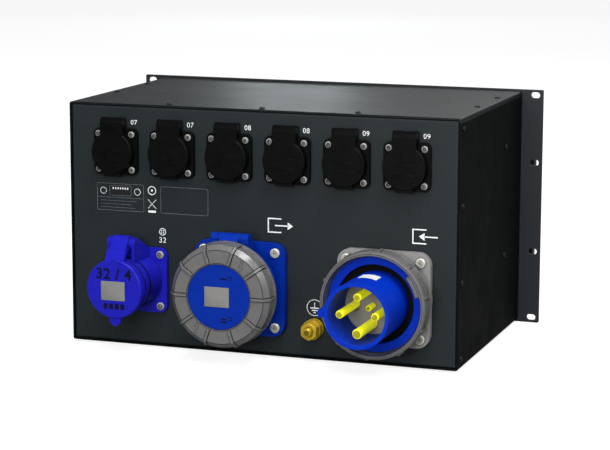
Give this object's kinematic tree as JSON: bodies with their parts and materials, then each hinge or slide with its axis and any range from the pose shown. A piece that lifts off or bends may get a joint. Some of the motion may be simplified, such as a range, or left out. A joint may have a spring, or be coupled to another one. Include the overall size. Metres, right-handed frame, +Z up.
{
  "type": "rack power distribution unit",
  "caption": "Six-unit rack mains distribution box: sheet-steel case, lidded sockets, round output sockets and keyed power inlet behind, breakers and handles in front.",
  "frame": {"origin": "centre of the rear (mating) plane of the rack ears, halfway between the left and right slots and at mid height", "axes": "+Z up, connector panel faces -Y, rack panel with breakers and handles faces +Y, +X to the right when looking at the connector panel"},
  "size_m": [0.4826, 0.405, 0.2658],
  "materials": {
    "case_powder_coat": "fine matt powder coat",
    "rack_panel_coat": "fine matt powder coat",
    "handle_black": "satin black",
    "bright_screw": "zinc plated",
    "black_screw": "black oxide",
    "black_rubber": "matt",
    "black_plastic": "fine moulded texture",
    "contact_brass": "bright",
    "violet_blue_plastic": "satin moulded",
    "blue_plastic": "satin moulded",
    "bright_blue_plastic": "satin moulded",
    "grey_plastic": "fine moulded texture",
    "pale_screw": "satin",
    "pin_yellow_brass": "bright",
    "breaker_grey": "moulded",
    "button_yellow": "moulded",
    "lamp_red": "translucent moulded",
    "zinc_steel": "zinc plated",
    "cable_sheath": "matt"
  },
  "bodies": {
    "chassis": {"chassis_tray": "case_powder_coat", "rear_panel": "case_powder_coat", "top_cover": "case_powder_coat", "front_panel": "rack_panel_coat", "rack_handles": "handle_black", "handle_screws": "bright_screw", "case_screws": "black_screw", "socket_gaskets": "black_rubber", "socket_frames": "black_plastic", "socket_inserts": "black_plastic", "socket_contacts": "contact_brass", "socket_earth_clips": "contact_brass", "socket_screws": "bright_screw", "socket_hinge_pins": "bright_screw", "socket_springs": "bright_screw", "cee_gasket": "black_rubber", "cee_housing": "violet_blue_plastic", "cee_insert": "black_plastic", "cee_contacts": "contact_brass", "cee_screws": "bright_screw", "cee_hinge_pin": "bright_screw", "large_gaskets": "black_rubber", "large_flange_screws": "pale_screw", "thru_housing": "blue_plastic", "thru_insert": "grey_plastic", "thru_contacts": "contact_brass", "thru_hinge_pin": "bright_screw", "inlet_housing": "grey_plastic", "inlet_sleeve": "bright_blue_plastic", "inlet_seal": "black_rubber", "inlet_insert": "grey_plastic", "inlet_pins": "pin_yellow_brass", "earth_stud": "contact_brass", "earth_nuts": "contact_brass", "earth_washers": "contact_brass", "breaker_cases": "breaker_grey", "phase_lamps": "lamp_red", "din_rail": "zinc_steel", "rail_brackets": "zinc_steel", "terminal_block": "grey_plastic", "earth_bar": "contact_brass", "internal_cables": "cable_sheath"},
    "socket_lid_1": {"socket_lid_1": "black_plastic"},
    "socket_lid_2": {"socket_lid_2": "black_plastic"},
    "socket_lid_3": {"socket_lid_3": "black_plastic"},
    "socket_lid_4": {"socket_lid_4": "black_plastic"},
    "socket_lid_5": {"socket_lid_5": "black_plastic"},
    "socket_lid_6": {"socket_lid_6": "black_plastic"},
    "cee_lid": {"cee_lid": "violet_blue_plastic"},
    "thru_lid": {"thru_lid": "blue_plastic", "thru_lid_seal": "black_rubber"},
    "thru_ring": {"thru_ring": "grey_plastic"},
    "inlet_ring": {"inlet_ring": "grey_plastic"},
    "main_lever": {"main_lever": "black_plastic"},
    "rcd_lever": {"rcd_lever": "blue_plastic"},
    "cee_lever": {"cee_lever": "black_plastic"},
    "circuit_lever_7": {"circuit_lever_7": "black_plastic"},
    "circuit_lever_8": {"circuit_lever_8": "black_plastic"},
    "circuit_lever_9": {"circuit_lever_9": "black_plastic"},
    "test_button": {"test_button": "button_yellow"}
  },
  "joints": [
    {"name": "socket_lid_1_hinge", "type": "hinge", "parent": "chassis", "child": "socket_lid_1", "pos_m": [-0.16175, -0.27, 0.1109], "axis": [-1, 0, 0], "range_deg": [0, 100]},
    {"name": "socket_lid_2_hinge", "type": "hinge", "parent": "chassis", "child": "socket_lid_2", "pos_m": [-0.09705, -0.27, 0.1109], "axis": [-1, 0, 0], "range_deg": [0, 100]},
    {"name": "socket_lid_3_hinge", "type": "hinge", "parent": "chassis", "child": "socket_lid_3", "pos_m": [-0.03235, -0.27, 0.1109], "axis": [-1, 0, 0], "range_deg": [0, 100]},
    {"name": "socket_lid_4_hinge", "type": "hinge", "parent": "chassis", "child": "socket_lid_4", "pos_m": [0.03235, -0.27, 0.1109], "axis": [-1, 0, 0], "range_deg": [0, 100]},
    {"name": "socket_lid_5_hinge", "type": "hinge", "parent": "chassis", "child": "socket_lid_5", "pos_m": [0.09705, -0.27, 0.1109], "axis": [-1, 0, 0], "range_deg": [0, 100]},
    {"name": "socket_lid_6_hinge", "type": "hinge", "parent": "chassis", "child": "socket_lid_6", "pos_m": [0.16175, -0.27, 0.1109], "axis": [-1, 0, 0], "range_deg": [0, 100]},
    {"name": "cee_lid_hinge", "type": "hinge", "parent": "chassis", "child": "cee_lid", "pos_m": [-0.1385, -0.3, -0.012], "axis": [-1, 0, 0], "range_deg": [0, 110]},
    {"name": "thru_lid_hinge", "type": "hinge", "parent": "chassis", "child": "thru_lid", "pos_m": [-0.0188, -0.293, -0.001], "axis": [-1, 0, 0], "range_deg": [0, 110]},
    {"name": "thru_ring_turn", "type": "hinge", "parent": "thru_lid", "child": "thru_ring", "pos_m": [-0.0188, -0.32, -0.056], "axis": [0, -1, 0], "range_deg": [0, 25]},
    {"name": "inlet_ring_turn", "type": "hinge", "parent": "chassis", "child": "inlet_ring", "pos_m": [0.1393, -0.29, -0.058], "axis": [0, -1, 0], "range_deg": [0, 25]},
    {"name": "main_lever_throw", "type": "hinge", "parent": "chassis", "child": "main_lever", "pos_m": [0, -0.001, 0.0175], "axis": [1, 0, 0], "range_deg": [-80, 0]},
    {"name": "rcd_lever_throw", "type": "hinge", "parent": "chassis", "child": "rcd_lever", "pos_m": [0, -0.001, 0.0175], "axis": [1, 0, 0], "range_deg": [-80, 0]},
    {"name": "cee_lever_throw", "type": "hinge", "parent": "chassis", "child": "cee_lever", "pos_m": [0, -0.001, 0.0175], "axis": [1, 0, 0], "range_deg": [-80, 0]},
    {"name": "circuit_lever_7_throw", "type": "hinge", "parent": "chassis", "child": "circuit_lever_7", "pos_m": [0, -0.001, 0.0175], "axis": [1, 0, 0], "range_deg": [-80, 0]},
    {"name": "circuit_lever_8_throw", "type": "hinge", "parent": "chassis", "child": "circuit_lever_8", "pos_m": [0, -0.001, 0.0175], "axis": [1, 0, 0], "range_deg": [-80, 0]},
    {"name": "circuit_lever_9_throw", "type": "hinge", "parent": "chassis", "child": "circuit_lever_9", "pos_m": [0, -0.001, 0.0175], "axis": [1, 0, 0], "range_deg": [-80, 0]},
    {"name": "test_button_press", "type": "slide", "parent": "chassis", "child": "test_button", "axis": [0, -1, 0], "range_m": [0, 0.0015]}
  ]
}
